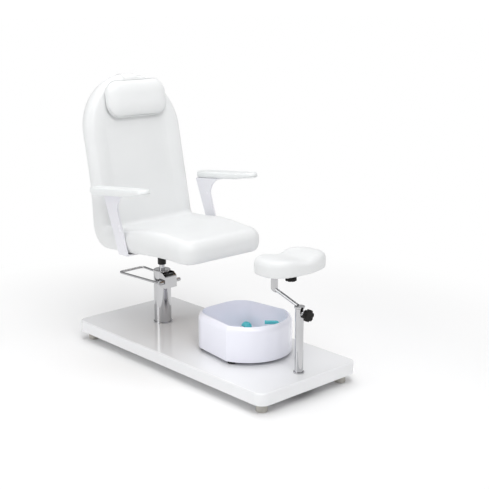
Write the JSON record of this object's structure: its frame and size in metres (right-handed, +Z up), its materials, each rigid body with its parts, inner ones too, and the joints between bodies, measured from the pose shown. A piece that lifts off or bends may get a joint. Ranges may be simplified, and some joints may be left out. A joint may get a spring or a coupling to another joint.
{
  "type": "pedicure spa chair",
  "caption": "Upholstered shell chair on a foot-pumped hydraulic column, with a removable foot basin and a tilting footrest, on one gloss board with levelling feet.",
  "frame": {"origin": "on the floor, under the middle of the board", "axes": "+Z up, the sitter faces -Y, +X is on the right of someone looking at the chair from its front"},
  "size_m": [0.6592, 1.2, 1.1787],
  "materials": {
    "white_lacquer": "gloss lacquered MDF",
    "dark_steel": "satin black powder coat",
    "foot_rubber": "beige moulded rubber",
    "black_rubber": "black moulded rubber",
    "zinc_steel": "bright zinc plate",
    "chrome": "polished chrome plate",
    "black_casting": "black enamel",
    "black_plastic": "fine moulded texture",
    "plywood": "raw plywood",
    "white_leather": "soft upholstery leather, fine grain",
    "white_webbing": "woven elastic webbing",
    "white_paint": "white gloss powder coat",
    "arm_plastic": "white moulded polyurethane, soft sheen",
    "basin_plastic": "pale lilac-white gloss",
    "turquoise_plastic": "turquoise gloss"
  },
  "bodies": {
    "base": {"base_board": "white_lacquer", "foot_rings": "dark_steel", "foot_pads": "foot_rubber", "foot_studs": "zinc_steel", "column_mount_plate": "dark_steel", "column_mount_bolts": "zinc_steel", "pump_column": "chrome", "column_trim_ring": "chrome", "pump_cylinder": "zinc_steel", "column_cap": "chrome", "lever_bracket": "chrome", "valve_block": "black_casting", "post_mount_plate": "dark_steel", "post_tube": "chrome", "post_base_ring": "chrome", "post_bush": "black_plastic", "clamp_boss": "chrome"},
    "lever": {"foot_lever": "chrome", "lever_pin": "zinc_steel"},
    "plunger": {"pump_plunger": "zinc_steel", "plunger_spring": "zinc_steel"},
    "lift": {"piston_rod": "chrome"},
    "seat": {"seat_hub": "black_casting", "seat_plate": "dark_steel", "seat_riser": "plywood", "seat_plate_bolts": "zinc_steel", "seat_board": "plywood", "back_straps": "dark_steel", "seat_cushion": "white_leather", "back_cushion": "white_leather", "back_board": "plywood", "back_rear_panel": "white_leather", "headrest_band": "white_webbing", "armrest_blade_left": "white_paint", "armrest_pad_left": "arm_plastic", "armrest_blade_right": "white_paint", "armrest_pad_right": "arm_plastic", "armrest_screws": "zinc_steel"},
    "headrest": {"headrest_pillow": "white_leather"},
    "clamp": {"clamp_knob": "black_plastic", "clamp_screw": "zinc_steel"},
    "stem": {"footrest_stem": "chrome"},
    "arm": {"footrest_arm": "chrome", "tilt_pin": "zinc_steel"},
    "pad": {"pad_bracket": "dark_steel", "pad_board": "plywood", "footrest_cushion": "white_leather", "pad_bolts": "zinc_steel"},
    "pad_lock": {"pad_lock_knob": "black_plastic", "pad_knob_screw": "zinc_steel"},
    "basin": {"basin_shell": "basin_plastic", "basin_feet": "black_rubber", "roller_cradles": "basin_plastic", "roller_axles": "zinc_steel", "spray_bar": "turquoise_plastic"},
    "roller_left": {"massage_roller_left": "turquoise_plastic"},
    "roller_right": {"massage_roller_right": "turquoise_plastic"}
  },
  "joints": [
    {"name": "pump_lever", "type": "hinge", "parent": "base", "child": "lever", "pos_m": [0, 0.27, 0.284], "axis": [1, 0, 0], "range_deg": [-22, 0], "stiffness_Nm_per_rad": 8, "springref_deg": 17.19},
    {"name": "pump_plunger", "type": "slide", "parent": "base", "child": "plunger", "axis": [0, 0, 1], "range_m": [0, 0.004], "deforming": ["plunger_spring"]},
    {"name": "seat_lift", "type": "slide", "parent": "base", "child": "lift", "axis": [0, 0, 1], "range_m": [0, 0.13]},
    {"name": "seat_swivel", "type": "hinge", "parent": "lift", "child": "seat", "pos_m": [0, 0.318, 0.4], "axis": [0, 0, 1], "continuous": true},
    {"name": "headrest_slide", "type": "slide", "parent": "seat", "child": "headrest", "axis": [0, 0.1994, 0.9799], "range_m": [-0.06, 0.02]},
    {"name": "clamp_turn", "type": "hinge", "parent": "base", "child": "clamp", "pos_m": [0, -0.56, 0.331], "axis": [0, -1, 0], "range_deg": [0, 270]},
    {"name": "footrest_height", "type": "slide", "parent": "base", "child": "stem", "axis": [0, 0, 1], "range_m": [0, 0.09]},
    {"name": "footrest_swing", "type": "hinge", "parent": "stem", "child": "arm", "pos_m": [0, -0.53, 0.355], "axis": [0, 0, 1], "continuous": true},
    {"name": "footrest_tilt", "type": "hinge", "parent": "arm", "child": "pad", "pos_m": [0, -0.392, 0.462], "axis": [1, 0, 0], "range_deg": [-20, 25]},
    {"name": "pad_lock_turn", "type": "hinge", "parent": "pad", "child": "pad_lock", "pos_m": [0, -0.482, 0.46], "axis": [0, 0, 1], "range_deg": [0, 270]},
    {"name": "basin_slide", "type": "slide", "parent": "base", "child": "basin", "axis": [-1, 0, 0], "range_m": [0, 0.3]},
    {"name": "roller_left_spin", "type": "hinge", "parent": "basin", "child": "roller_left", "pos_m": [-0.071, -0.107, 0.142], "axis": [1, 0, 0], "continuous": true},
    {"name": "roller_right_spin", "type": "hinge", "parent": "basin", "child": "roller_right", "pos_m": [0.115, -0.107, 0.142], "axis": [1, 0, 0], "continuous": true}
  ],
  "couplings": [
    {"joint": "pump_plunger", "follows": "pump_lever", "m_per_rad": -0.008}
  ]
}
